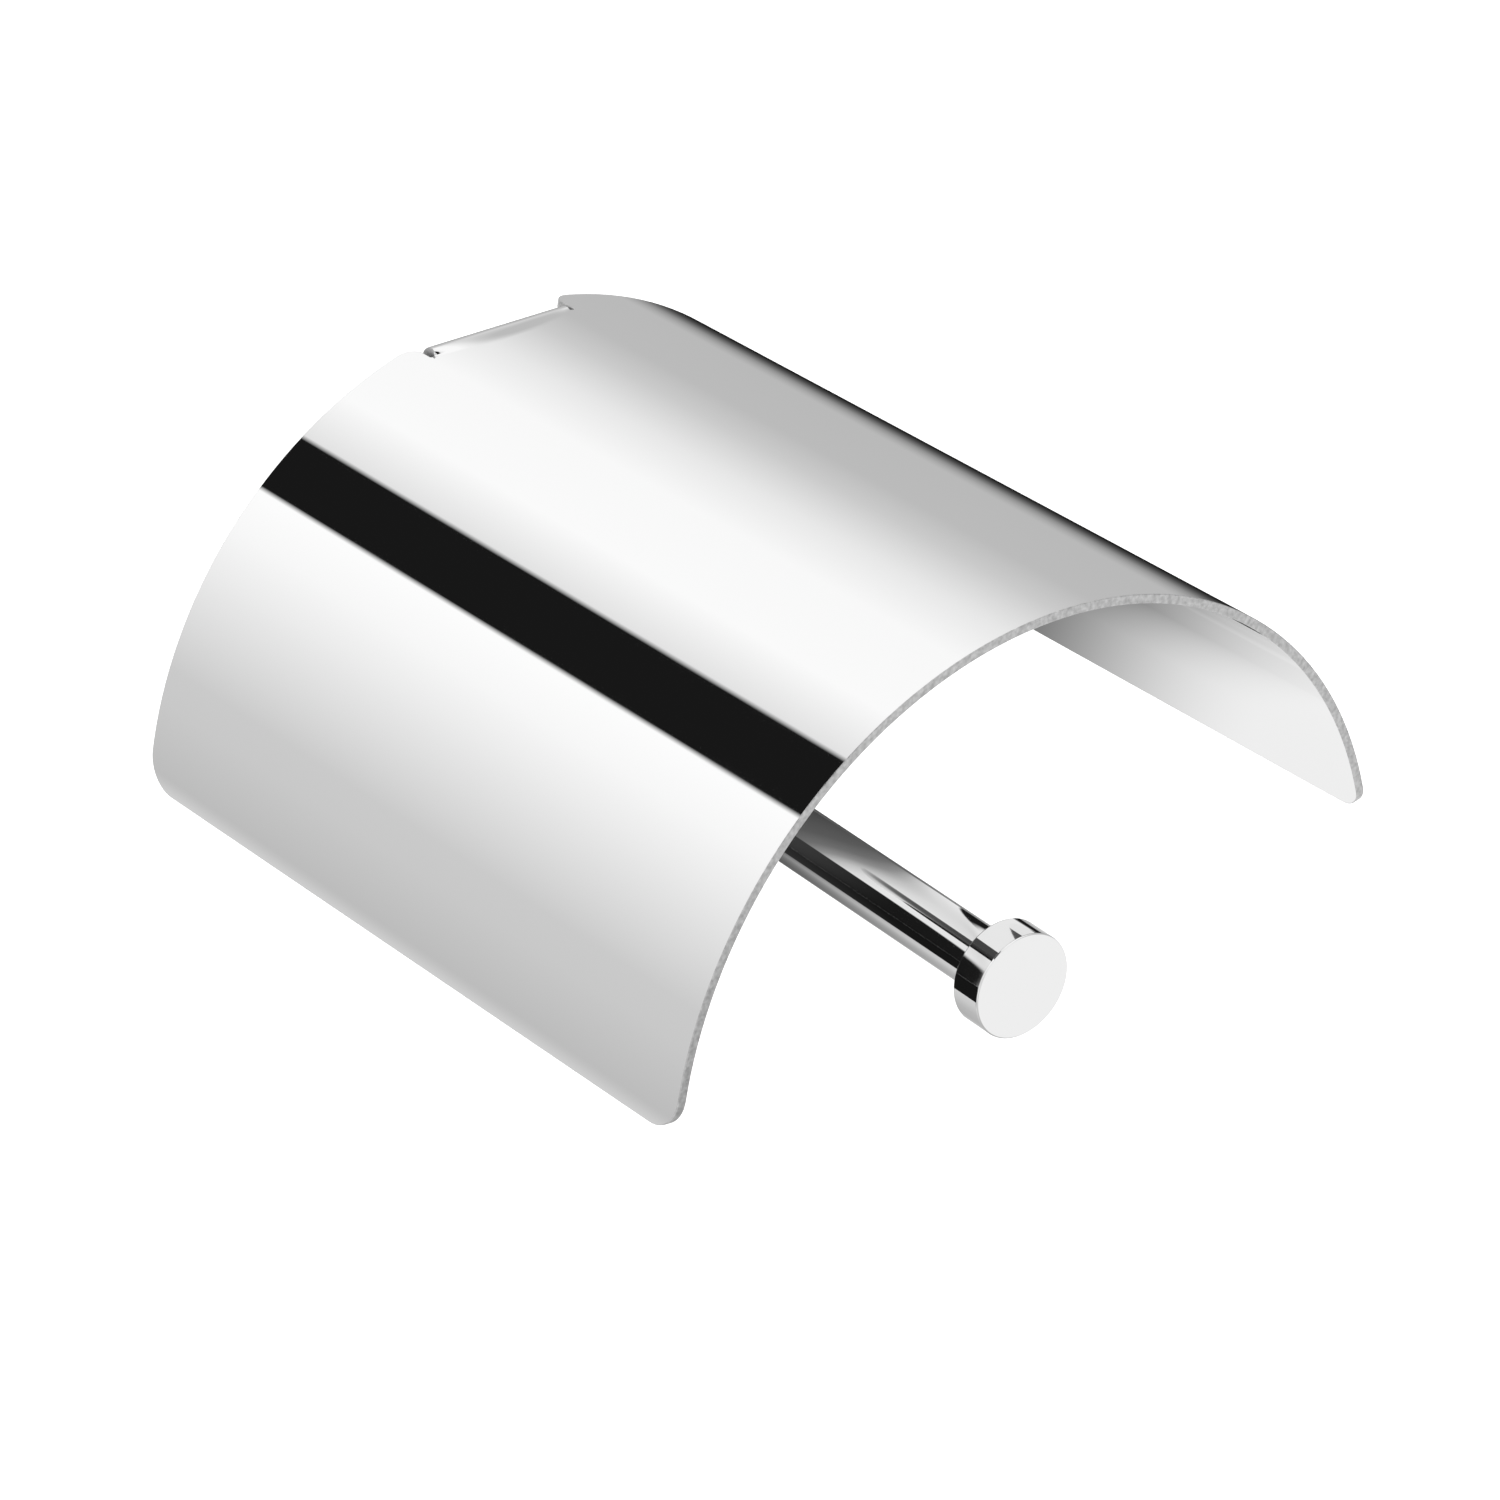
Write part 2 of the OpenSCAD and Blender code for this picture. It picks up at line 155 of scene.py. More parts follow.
class HolderColours(bpy.types.PropertyGroup):
    """Colours of the finishes."""
    chrome: colour("Chrome", "Polished chrome plate", "#F2F2F2")
    cut_edge: colour("Cut edge", "Linished edge of the sheet", "#C6C6C6")
    zinc: colour("Zinc", "Bright zinc plate", "#B7B9BC")
    spring: colour("Spring steel", "Tempered spring steel", "#7A776F")
    black: colour("Black steel", "Black oxide on steel", "#303134")
    acetal: colour("Acetal", "Natural acetal", "#EAE8DE")
    nitrile: colour("Nitrile", "Nitrile rubber", "#1C1C1D")
    foam: colour("Foam", "Foam rubber", "#2A2B2D")


class HolderStageSettings(bpy.types.PropertyGroup):
    """Camera, floor and light."""
    azimuth: angle("Azimuth", "Camera's direction round the holder, from straight in front", 51.15)
    elevation: angle("Elevation", "Camera's height above the horizon", 29.08)
    distance: length("Distance", "From the camera to what it looks at", 1015)
    lens: FloatProperty(name="Lens", description="Focal length", default=153.14, unit="CAMERA")
    aim: FloatVectorProperty(name="Aim", description="What the camera looks at", size=3,
                             subtype="XYZ", default=(84.1 * MM, -68.1 * MM, 2.1 * MM))
    floor_drop: length("Floor drop", "How far the floor lies below the holder", 350)
    floor_size: length("Floor size", "Side of the floor", 12000)
    floor_glow: FloatProperty(name="Floor glow", description="Light given off by the floor",
                              default=0.6, min=0.0)


# ---------------------------------------------------------------- outlines and meshes

def rounded(corners, step, closed=True):
    """Rounds a path's corners. Each corner is (x, y, radius); the result is a list of
    (x, y, nx, ny), with the normal to the right of the way the path runs."""
    path = []
    count = len(corners)
    for i, (x, y, radius) in enumerate(corners):
        here = Vector((x, y))
        before = Vector(corners[i - 1][:2]) if closed or i > 0 else None
        after = Vector(corners[(i + 1) % count][:2]) if closed or i < count - 1 else None
        if before is None or after is None:
            way = (after - here if before is None else here - before).normalized()
            path.append((x, y, way.y, -way.x))
            continue
        d0, d1 = (here - before).normalized(), (after - here).normalized()
        turn = math.atan2(d0.x * d1.y - d0.y * d1.x, d0.dot(d1))
        side = math.copysign(1.0, turn)
        n0 = Vector((d0.y, -d0.x))
        start = here - d0 * radius * math.tan(abs(turn) / 2)
        centre = start - n0 * radius * side
        steps = max(2, math.ceil(abs(turn) / step))
        for k in range(steps + 1):
            c, s = math.cos(turn * k / steps), math.sin(turn * k / steps)
            n = Vector((n0.x * c - n0.y * s, n0.x * s + n0.y * c))
            p = centre + n * radius * side
            path.append((p.x, p.y, n.x, n.y))
    return path


def new_piece(name, points, normals, faces, materials, face_materials=None):
    """A mesh object with exact normals, in the scene."""
    mesh = bpy.data.meshes.new(name)
    mesh.from_pydata(points, [], faces)
    for material in materials:
        mesh.materials.append(material)
    if face_materials:
        mesh.polygons.foreach_set("material_index", face_materials)
    mesh.polygons.foreach_set("use_smooth", [True] * len(mesh.polygons))
    mesh.update()
    mesh.normals_split_custom_set_from_vertices(normals)
    piece = bpy.data.objects.new(name, mesh)
    bpy.context.scene.collection.objects.link(piece)
    return piece


def place_in_frame(piece, node, body):
    """The piece stands for a CAD node, which it hides, and moves with its body."""
    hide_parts(node)
    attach(piece, body)


def turned(name, corners, place, segments, material):
    """A turned piece. corners are (radius, height, rounding) from the axis round to the axis,
    and place takes the lathe's axis, local Z, into the frame."""
    profile = rounded(corners, math.radians(22.5), closed=False)
    points, normals, rings = [], [], []
    for radius, height, nr, nh in profile:
        count = segments if radius > 1e-9 else 1
        rings.append(range(len(points), len(points) + count))
        for k in range(count):
            a = math.tau * k / segments
            points.append(place @ Vector((radius * math.cos(a), radius * math.sin(a), height)))
            if count == 1:
                nr = 0.0
            local = Vector((nr * math.cos(a), nr * math.sin(a), nh)).normalized()
            normals.append(place.to_3x3() @ local)
    faces = []
    for low, high in zip(rings, rings[1:]):
        for k in range(segments):
            a, b = k % len(low), (k + 1) % len(low)
            c, d = (k + 1) % len(high), k % len(high)
            face = [low[a], low[b], high[c], high[d]]
            faces.append(list(dict.fromkeys(face)))
    return new_piece(name, points, normals, faces, [material])


def on_rod(s):
    """Takes local Z to the rod's axis, with its zero at s from the post's axis."""
    axes = Matrix((ACROSS, UP, ALONG)).transposed().to_4x4()
    return Matrix.Translation(ROD_ROOT + ALONG * s) @ axes


def cap_start(sizes):
    """How far along the rod's axis the end cap starts."""
    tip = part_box("end_cap")[1].x - (sizes.cap - sizes.edge) * ACROSS.x
    return tip / ALONG.x - sizes.cap_length


def build_cap(sizes, material):
    """The end cap: a short turned disc with a seat for the rod and a blind thread."""
    bore, edge = sizes.bore_edge, sizes.edge
    thread_end, seat_r = sizes.cap_length - sizes.cap_face, sizes.rod + sizes.fit
    corners = [
        (0, thread_end, 0), (sizes.cap_thread, thread_end, bore), (sizes.cap_thread, sizes.seat, bore),
        (seat_r, sizes.seat, bore), (seat_r, 0, bore), (sizes.cap, 0, edge),
        (sizes.cap, sizes.cap_length, edge), (0, sizes.cap_length, 0)
    ]
    return turned("turned_end_cap", corners, on_rod(cap_start(sizes)), sizes.segments, material)


def build_rod(sizes, material):
    """The rod: polished bar with a thread in each end."""
    start = (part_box("rod")[0].x + sizes.rod * ACROSS.x) / ALONG.x
    end = cap_start(sizes) + sizes.seat - sizes.fit - start
    bore = sizes.bore_edge
    corners = [
        (0, sizes.tie_thread_depth, 0), (sizes.tie_thread, sizes.tie_thread_depth, bore),
        (sizes.tie_thread, 0, bore), (sizes.rod, 0, bore), (sizes.rod, end, bore),
        (sizes.cap_thread, end, bore), (sizes.cap_thread, end - sizes.cap_thread_depth, bore),
        (0, end - sizes.cap_thread_depth, 0)
    ]
    return turned("turned_rod", corners, on_rod(start), sizes.segments, material)


# ---------------------------------------------------------------- the cover

def cover_numbers(sizes):
    """The cover's places in millimetres, from its CAD box, the pivot and its sizes."""
    low, high = (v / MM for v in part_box("cover"))
    k = SimpleNamespace()
    k.front_angle, k.rear_angle = -sizes.front, sizes.rear
    k.r = (high.y - low.y) / (math.sin(sizes.front) + math.sin(sizes.rear))
    k.axis_y = low.y + k.r * math.sin(sizes.front)
    k.axis_z = high.z - k.r
    k.x0, k.x1 = low.x, high.x
    k.t = sizes.sheet / MM
    k.half = sizes.tab_width / MM / 2
    k.tab_s = (PIVOT - ROD_ROOT).dot(ALONG) / MM
    k.bend_out = sizes.bend / MM + k.t
    k.bend_s = k.tab_s + k.bend_out
    k.bend_length = k.bend_out * math.pi / 2
    k.floor_s = k.bend_s + sizes.tongue / MM
    k.flattening = (sizes.flattening - sizes.tongue) / MM
    top = k.r + k.axis_z
    k.tongue_z = top - (k.r - math.sqrt(k.r ** 2 - k.half ** 2)) / 2
    k.pivot_q = k.bend_s - k.bend_length - (k.tongue_z - k.bend_out)
    k.root = ROD_ROOT / MM
    return k


def to_rod(k, x, s):
    """A point of the flat blank, measured along the rod's axis and across it."""
    y = k.axis_y + s - k.root.y
    return x * ALONG.x + y * ALONG.y, x * ACROSS.x + y * ACROSS.y


def to_blank(k, q, w):
    """A point measured along the rod's axis and across it, on the flat blank."""
    x = q * ALONG.x + w * ACROSS.x
    y = q * ALONG.y + w * ACROSS.y
    return x, y + k.root.y - k.axis_y


def blank_outline(k, sizes):
    """The outline of the flat sheet: the cover, its notch and the tab before bending."""
    front, rear = sizes.front_corner / MM, sizes.rear_corner / MM
    mouth, relief = sizes.mouth / MM, sizes.relief / MM
    slot_end = relief * 0.49  # under half, so that both corners of the slot's end fit
    s_front, s_rear = k.r * k.front_angle, k.r * k.rear_angle
    middle = PIVOT.y / MM - k.axis_y
    corners = [(k.x0, s_front, front), (k.x1, s_front, front),
               (k.x1, s_rear, rear), (k.x0, s_rear, rear)]
    for side in (1, -1):
        s = middle + side * (k.half + relief)
        floor_x = (k.floor_s - (k.axis_y + s - k.root.y) * ALONG.y) / ALONG.x
        slot = [(k.x0, s, mouth), (floor_x, s, slot_end),
                (*to_blank(k, k.floor_s, side * k.half), slot_end)]
        tip = (*to_blank(k, k.pivot_q - k.half, side * k.half), k.half)
        corners += [*slot, tip] if side > 0 else [tip, *reversed(slot)]
    return rounded(corners, math.radians(7.5))


def tab_point(k, radius, a):
    """A point of the tab at an angle from straight up, positive towards the wall."""
    return Vector(to_blank(k, k.pivot_q + radius * math.cos(a), radius * math.sin(a)))


def tab_holes(k, sizes):
    """The bush's hole and the stop slot in the flat blank, each run round clockwise."""
    centre = tab_point(k, 0, 0)
    r = sizes.bush_hole / MM
    square = [(-r, -r), (-r, r), (r, r), (r, -r)]
    holes = [rounded([(centre.x + x, centre.y + y, r) for x, y in square], math.radians(9))]
    circle, half = sizes.slot_circle / MM, sizes.slot_half / MM
    swing = math.radians(SWING["range_deg"][1])
    start, end, steps = math.pi / 2 - swing, math.pi / 2, 16
    slot = []
    for i in range(steps + 1):
        a = start + (end - start) * i / steps
        slot.append((tab_point(k, circle + half, a), tab_point(k, circle, a)))
    for i in range(1, steps):
        a = end + math.pi * i / steps
        tip = tab_point(k, circle, end)
        out = (tab_point(k, 1, a) - centre) * half
        slot.append((tip + out, tip))
    for i in range(steps + 1):
        a = end + (start - end) * i / steps
        slot.append((tab_point(k, circle - half, a), tab_point(k, circle, a)))
    for i in range(1, steps):
        a = start + math.pi + math.pi * i / steps
        tip = tab_point(k, circle, start)
        out = (tab_point(k, 1, a) - centre) * half
        slot.append((tip + out, tip))
    path = []
    for edge, middle in slot:
        n = (middle - edge).normalized()
        path.append((edge.x, edge.y, n.x, n.y))
    area = sum(a[0] * b[1] - b[0] * a[1] for a, b in zip(path, path[1:] + path[:1]))
    holes.append(path[::-1] if area > 0 else path)
    return holes


def fold(k, x, s, depth):
    """Where a point of the flat blank goes when the sheet is rolled and its tab bent down."""
    a = s / k.r
    r = k.r - depth
    rolled = Vector((x, k.axis_y + r * math.sin(a), k.axis_z + r * math.cos(a)))
    q, w = to_rod(k, x, s)
    across = min(1.0, abs(w) / k.half)
    flat_length = k.floor_s - k.bend_s + k.flattening * (1 - across ** 2)
    share = (q - k.bend_s) / flat_length
    if share >= 1 or abs(w) > k.half + SLACK:
        return rolled
    past = k.bend_s - q
    out = k.bend_out - depth
    if past <= 0:
        along, height = q, k.tongue_z - depth
    elif past < k.bend_length:
        turn = past / k.bend_out
        along = k.bend_s - out * math.sin(turn)
        height = k.tongue_z - k.bend_out + out * math.cos(turn)
    else:
        along = k.bend_s - out
        height = k.tongue_z - k.bend_out - (past - k.bend_length)
    bent = k.root + ALONG * along + ACROSS * w + UP * height
    t = min(max(share, 0.0), 1.0)
    return bent.lerp(rolled, t * t * (3 - 2 * t))


def fold_normal(k, p, n):
    """How the normal n of the flat blank at p turns as the sheet is folded."""
    step = 0.01
    here = fold(k, p.x, p.y, -p.z)
    dx = fold(k, p.x + step, p.y, -p.z) - here
    ds = fold(k, p.x, p.y + step, -p.z) - here
    dz = fold(k, p.x, p.y, -p.z - step) - here
    return (ds.cross(dz) * n.x + dz.cross(dx) * n.y + dx.cross(ds) * n.z).normalized()


def fill(bm, loops):
    """Fills the face that the loops bound and gives its faces back."""
    edges = [bm.edges.get((a, b)) or bm.edges.new((a, b))
             for loop in loops for a, b in zip(loop, loop[1:] + loop[:1])]
    made = bmesh.ops.triangle_fill(bm, use_beauty=True, use_dissolve=False, edges=edges)
    return [f for f in made["geom"] if isinstance(f, bmesh.types.BMFace)]


def cut_blank(k, sizes):
    """The flat blank as a solid sheet with rounded edges, its normals kept in a layer."""
    bm = bmesh.new()
    layer = bm.verts.layers.float_vector.new("flat_normal")
    edge, steps = sizes.edge / MM, 3
    arc = [math.radians(90) * i / steps for i in range(steps + 1)]
    section = [(edge * (1 - math.sin(a)), edge * (1 - math.cos(a)), a) for a in arc]
    section += [(inset, k.t - depth, math.pi - a) for inset, depth, a in reversed(section)]
    tops, bottoms = [], []
    for path in [blank_outline(k, sizes), *tab_holes(k, sizes)]:
        rings = []
        for inset, depth, a in section:
            ring = []
            for x, s, nx, ns in path:
                vert = bm.verts.new((x - nx * inset, s - ns * inset, -depth))
                vert[layer] = (nx * math.sin(a), ns * math.sin(a), math.cos(a))
                ring.append(vert)
            rings.append(ring)
        for upper, lower in zip(rings, rings[1:]):
            for i in range(len(path)):
                j = (i + 1) % len(path)
                bm.faces.new((upper[i], lower[i], lower[j], upper[j])).material_index = 1
        tops.append(rings[0])
        bottoms.append(rings[-1])
    for loops, up in ((tops, 1), (bottoms, -1)):
        for face in fill(bm, loops):
            face.normal_update()
            if face.normal.z * up < 0:
                face.normal_flip()
    return bm, layer


def slice_blank(bm, k):
    """Cuts the flat blank across so that it can follow the curve, the bend and the flattening."""
    cuts = []
    fine, bend_cuts, flat_cuts = math.radians(1), 9, 8
    near_tab = k.half * 1.3
    for i in range(math.ceil(k.front_angle / fine), math.floor(k.rear_angle / fine) + 1):
        s = k.r * fine * i
        if i % 2 == 0 or abs(s) < near_tab:
            cuts.append((Vector((0, s, 0)), Vector((0, 1, 0))))
    flat_length = k.floor_s - k.bend_s + k.flattening
    stations = [k.bend_s - k.bend_length * i / bend_cuts for i in range(bend_cuts + 1)]
    stations += [k.bend_s + flat_length * i / flat_cuts for i in range(1, flat_cuts + 1)]
    for q in stations:
        cuts.append((Vector((*to_blank(k, q, 0), 0)), Vector((ALONG.x, ALONG.y, 0))))
    for point, normal in cuts:
        geometry = [*bm.verts, *bm.edges, *bm.faces]
        bmesh.ops.bisect_plane(bm, geom=geometry, dist=1e-5, plane_co=point, plane_no=normal)


def build_cover(sizes, face_material, edge_material):
    """The cover as one sheet: cut flat, rolled to its curve, its tab bent down."""
    k = cover_numbers(sizes)
    bm, layer = cut_blank(k, sizes)
    slice_blank(bm, k)
    bm.verts.index_update()
    points = [fold(k, v.co.x, v.co.y, -v.co.z) * MM for v in bm.verts]
    normals = [fold_normal(k, v.co, v[layer].normalized()) for v in bm.verts]
    faces = [[v.index for v in f.verts] for f in bm.faces]
    kinds = [f.material_index for f in bm.faces]
    bm.free()
    return new_piece("rolled_cover", points, normals, faces, [face_material, edge_material], kinds)


# ---------------------------------------------------------------- materials

def node(tree, kind, inputs=None, stops=None, **settings):
    """Adds a node with its settings, links and, on a colour ramp, its stops."""
    made = tree.nodes.new(kind)
    for name, value in settings.items():
        setattr(made, name, value)
    for name, value in (inputs or {}).items():
        if isinstance(value, bpy.types.NodeSocket):
            tree.links.new(value, made.inputs[name])
        else:
            made.inputs[name].default_value = value
    if stops:
        ramp = made.color_ramp.elements
        while len(ramp) < len(stops):
            ramp.new(1.0)
        for element, (position, rgba) in zip(ramp, stops):
            element.position = position
            element.color = rgba
    return made


def new_material(name):
    """An empty material with its output, and its tree."""
    material = bpy.data.materials.new(name)
    material.use_nodes = True
    material.node_tree.nodes.clear()
    return material, material.node_tree


def shade(rgb, factor=1.0):
    """A colour made lighter or darker, with the alpha that sockets want."""
    return (*(min(1.0, v * factor) for v in rgb), 1.0)


def mirror_chrome(rgb):
    """Bright chrome plate over a mirror-polished base: sharp reflections, a faint haze where
    it has been wiped, and the slightest waviness left by the buffing wheel."""
    material, tree = new_material("mirror_chrome_plate")
    place = node(tree, "ShaderNodeTexCoord").outputs["Object"]
    haze = node(tree, "ShaderNodeTexNoise", {"Vector": place, "Scale": 1 / (18 * MM), "Detail": 4.0})
    rough = node(tree, "ShaderNodeMapRange", {"Value": haze.outputs["Fac"], "From Min": 0.35,
                 "From Max": 0.75, "To Min": 0.012, "To Max": 0.035})
    wave = node(tree, "ShaderNodeTexNoise", {"Vector": place, "Scale": 1 / (14 * MM), "Detail": 1.0})
    bump = node(tree, "ShaderNodeBump", {"Height": wave.outputs["Fac"], "Strength": 1.0,
                "Distance": 0.004 * MM})
    shader = node(tree, "ShaderNodeBsdfPrincipled", {
        "Base Color": shade(rgb), "Metallic": 1.0, "Roughness": rough.outputs["Result"],
        "Normal": bump.outputs["Normal"]})
    node(tree, "ShaderNodeOutputMaterial", {"Surface": shader.outputs["BSDF"]})
    return material


def polished(colours):
    """The one chrome plate that all the polished pieces share."""
    return bpy.data.materials.get("mirror_chrome_plate") or mirror_chrome(colours.chrome)


def paint(name, material):
    """Gives a CAD node its material."""
    mesh = frame["nodes"][name].data
    mesh.materials.clear()
    mesh.materials.append(material)


def cut_edge(rgb):
    """Chromed sheet edge as cut and lightly linished: satin grey with a fine mottling."""
    material, tree = new_material("linished_sheet_edge")
    place = node(tree, "ShaderNodeTexCoord").outputs["Object"]
    mottle = node(tree, "ShaderNodeTexNoise", {"Vector": place, "Scale": 1 / (0.8 * MM), "Detail": 3.0})
    tone = node(tree, "ShaderNodeValToRGB", {"Fac": mottle.outputs["Fac"]},
                stops=[(0.3, shade(rgb, 0.8)), (0.7, shade(rgb, 1.25))])
    rough = node(tree, "ShaderNodeMapRange", {"Value": mottle.outputs["Fac"], "To Min": 0.32,
                 "To Max": 0.5})
    shader = node(tree, "ShaderNodeBsdfPrincipled", {
        "Base Color": tone.outputs["Color"], "Metallic": 1.0, "Roughness": rough.outputs["Result"]})
    node(tree, "ShaderNodeOutputMaterial", {"Surface": shader.outputs["BSDF"]})
    return material


def speckled(name, rgb, grain_mm, metallic, roughness, bump_mm, ior=None):
    """A plain finish with a grain: two tones, uneven roughness and a fine relief."""
    material, tree = new_material(name)
    place = node(tree, "ShaderNodeTexCoord").outputs["Object"]
    grain = node(tree, "ShaderNodeTexNoise", {"Vector": place, "Scale": 1 / (grain_mm * MM),
                 "Detail": 5.0, "Roughness": 0.6})
    tone = node(tree, "ShaderNodeValToRGB", {"Fac": grain.outputs["Fac"]},
                stops=[(0.3, shade(rgb, 0.85)), (0.7, shade(rgb, 1.15))])
    rough = node(tree, "ShaderNodeMapRange", {"Value": grain.outputs["Fac"], "To Min": roughness[0],
                 "To Max": roughness[1]})
    relief = node(tree, "ShaderNodeBump", {"Height": grain.outputs["Fac"], "Distance": bump_mm * MM})
    inputs = {"Base Color": tone.outputs["Color"], "Metallic": metallic,
              "Roughness": rough.outputs["Result"], "Normal": relief.outputs["Normal"]}
    if ior:
        inputs["IOR"] = ior
    shader = node(tree, "ShaderNodeBsdfPrincipled", inputs)
    node(tree, "ShaderNodeOutputMaterial", {"Surface": shader.outputs["BSDF"]})
    return material


def finishes(colours):
    """The hidden hardware's finishes, by the nodes that have them."""
    # Bright zinc plate: a soft grey shine with a fine crystal grain.
    zinc = speckled("bright_zinc_plated_steel", colours.zinc, 1.5, 1.0, (0.22, 0.38), 0.004)
    # Tempered spring steel: a brownish grey oxide that dulls the shine.
    spring = speckled("tempered_spring_steel", colours.spring, 2.5, 1.0, (0.25, 0.4), 0.003)
    # Black oxide: near black with a dull oily shine.
    black = speckled("black_oxide_steel", colours.black, 0.6, 1.0, (0.35, 0.55), 0.006)
    # Turned acetal: waxy off-white with a fine grain.
    acetal = speckled("turned_acetal", colours.acetal, 0.9, 0.0, (0.35, 0.5), 0.01, 1.48)
    # Moulded nitrile rubber: even dull black.
    nitrile = speckled("moulded_nitrile_rubber", colours.nitrile, 0.5, 0.0, (0.5, 0.7), 0.01, 1.52)
    # Cut foam rubber: dark with an open, crumbly grain.
    foam = speckled("cut_foam_rubber", colours.foam, 0.35, 0.0, (0.8, 1.0), 0.12, 1.5)
    return {
        "cap_stud": zinc, "tie_stud": zinc, "backing_washer": zinc, "stop_pin": zinc,
        "wall_stub": zinc, "stub_screw": zinc, "wall_plate": zinc, "disc_spring": spring,
        "set_screws": black, "pivot_bush": acetal, "friction_washer": acetal,
        "rosette_o_ring": nitrile, "rosette_gasket": foam,
    }


# ---------------------------------------------------------------- the stage

# The studio's light, by angle about X: 0 is towards the wall, 90 overhead, 180 in front.
# Each stop is (angle in degrees, grey level in sRGB from 0 to 1). The angles and levels are
# chosen for the bands that they draw along the chrome.
STRIPS = [
    (-180, 0.79), (-170, 0.78), (-160, 0.755), (-150, 0.735), (-140, 0.90), (-120, 0.93),
    (-60, 0.93), (-50, 0.90), (-46, 0.12), (-28, 0.12), (-22, 0.28), (-18, 0.42), (-14, 0.56),
    (-10, 0.65), (-6, 0.71), (22, 0.725), (34, 0.79), (50, 0.90), (66, 0.97), (90, 0.975),
    (106.4, 0.88), (106.7, 0.09), (124.1, 0.09), (124.4, 0.99), (138, 0.965), (150, 0.92),
    (166, 0.855), (180, 0.79)
]
PAINTED_SHADOW_GREY = 0.33  # grey level of the boards' painted shadow, where the holder shades them
GAIN = 1 / 0.88  # what chrome takes off a reflection, given back by the light


def grey(level):
    """A grey written as an sRGB level from 0 to 1, as the light that shows it in chrome."""
    value = GAIN * linear("#" + f"{round(level * 255):02X}" * 3)[0]
    return (value, value, value, 1)


def studio_light():
    """A world of long soft strips parallel to X, one of them a narrow black flag, that run out
    into an even grey past both ends."""
    world = bpy.data.worlds.new("strip_light_studio")
    bpy.context.scene.world = world
    world.use_nodes = True
    tree = world.node_tree
    tree.nodes.clear()
    way = node(tree, "ShaderNodeTexCoord").outputs["Generated"]
    axes = node(tree, "ShaderNodeSeparateXYZ", {"Vector": way})
    turn = node(tree, "ShaderNodeMath", {0: axes.outputs["Z"], 1: axes.outputs["Y"]}, operation="ARCTAN2")
    share = node(tree, "ShaderNodeMapRange", {"Value": turn.outputs[0], "From Min": -math.pi,
                 "From Max": math.pi})
    stops = [((degrees + 180) / 360, grey(level)) for degrees, level in STRIPS]
    strips = node(tree, "ShaderNodeValToRGB", {"Fac": share.outputs["Result"]}, stops=stops)
    # Below the holder and past its free end there is only the bright floor.
    sideways = node(tree, "ShaderNodeMapRange", {"Value": axes.outputs["X"], "From Min": 0.3,
                    "From Max": 0.45})
    below = node(tree, "ShaderNodeMapRange", {"Value": axes.outputs["Z"], "From Min": 0.0,
                 "From Max": -0.1})
    floor = node(tree, "ShaderNodeMath", {0: sideways.outputs[0], 1: below.outputs[0]},
                 operation="MULTIPLY")
    lit = node(tree, "ShaderNodeMix", {0: floor.outputs[0], 6: strips.outputs["Color"],
               7: grey(0.925)}, data_type="RGBA")
    # Both ends of the strips run out into an even grey.
    end = node(tree, "ShaderNodeMath", {0: axes.outputs["X"]}, operation="ABSOLUTE")
    past = node(tree, "ShaderNodeMapRange", {"Value": end.outputs[0], "From Min": 0.84,
                "From Max": 0.97})
    even = node(tree, "ShaderNodeMix", {0: past.outputs[0], 6: lit.outputs[2],
                7: grey(0.85)}, data_type="RGBA")
    seen = node(tree, "ShaderNodeLightPath").outputs["Is Camera Ray"]
    light = node(tree, "ShaderNodeBackground", {"Color": even.outputs[2]})
    white = node(tree, "ShaderNodeBackground", {"Color": (1, 1, 1, 1)})
    mixed = node(tree, "ShaderNodeMixShader", {0: seen, 1: light.outputs[0], 2: white.outputs[0]})
    node(tree, "ShaderNodeOutputWorld", {"Surface": mixed.outputs[0]})


def card_with_painted_shadow(name, axis, span_mm, edges, tops):
    """A lit board with the holder's shadow painted on it: dim towards the post and bright past a soft
    edge. edges and tops list how far along X that edge stands and how bright it gets, over the board's
    span along the axis."""
    shadow_softness = 38 * MM
    material, tree = new_material(name)
    place = node(tree, "ShaderNodeTexCoord").outputs["Object"]
    axes = node(tree, "ShaderNodeSeparateXYZ", {"Vector": place})
    share = node(tree, "ShaderNodeMapRange", {"Value": axes.outputs[axis],
                 "From Min": span_mm[0] * MM, "From Max": span_mm[1] * MM})
    stops = [(at, (mm * MM, mm * MM, mm * MM, 1)) for at, mm in edges]
    edge = node(tree, "ShaderNodeValToRGB", {"Fac": share.outputs[0]}, stops=stops)
    top = node(tree, "ShaderNodeValToRGB", {"Fac": share.outputs[0]},
               stops=[(at, grey(level)) for at, level in tops])
    past = node(tree, "ShaderNodeMath", {0: axes.outputs["X"], 1: edge.outputs["Color"]},
                operation="SUBTRACT")
    lit = node(tree, "ShaderNodeMapRange", {"Value": past.outputs[0], "From Min": -shadow_softness,
               "From Max": shadow_softness}, interpolation_type="SMOOTHSTEP")
    # The dim grey towards the post is painted shadow: the holder's shadow on the board, with a soft edge.
    tone = node(tree, "ShaderNodeMix", {0: lit.outputs[0], 6: grey(PAINTED_SHADOW_GREY), 7: top.outputs["Color"]},
                data_type="RGBA")
    one_sided(tree, tone.outputs[2])
    return material


def one_sided(tree, colour_socket):
    """Gives a card's face its light and leaves nothing to see from behind."""
    light = node(tree, "ShaderNodeEmission", {"Color": colour_socket})
    clear = node(tree, "ShaderNodeBsdfTransparent")
    behind = node(tree, "ShaderNodeNewGeometry").outputs["Backfacing"]
    faced = node(tree, "ShaderNodeMixShader", {0: behind, 1: light.outputs[0], 2: clear.outputs[0]})
    node(tree, "ShaderNodeOutputMaterial", {"Surface": faced.outputs[0]})


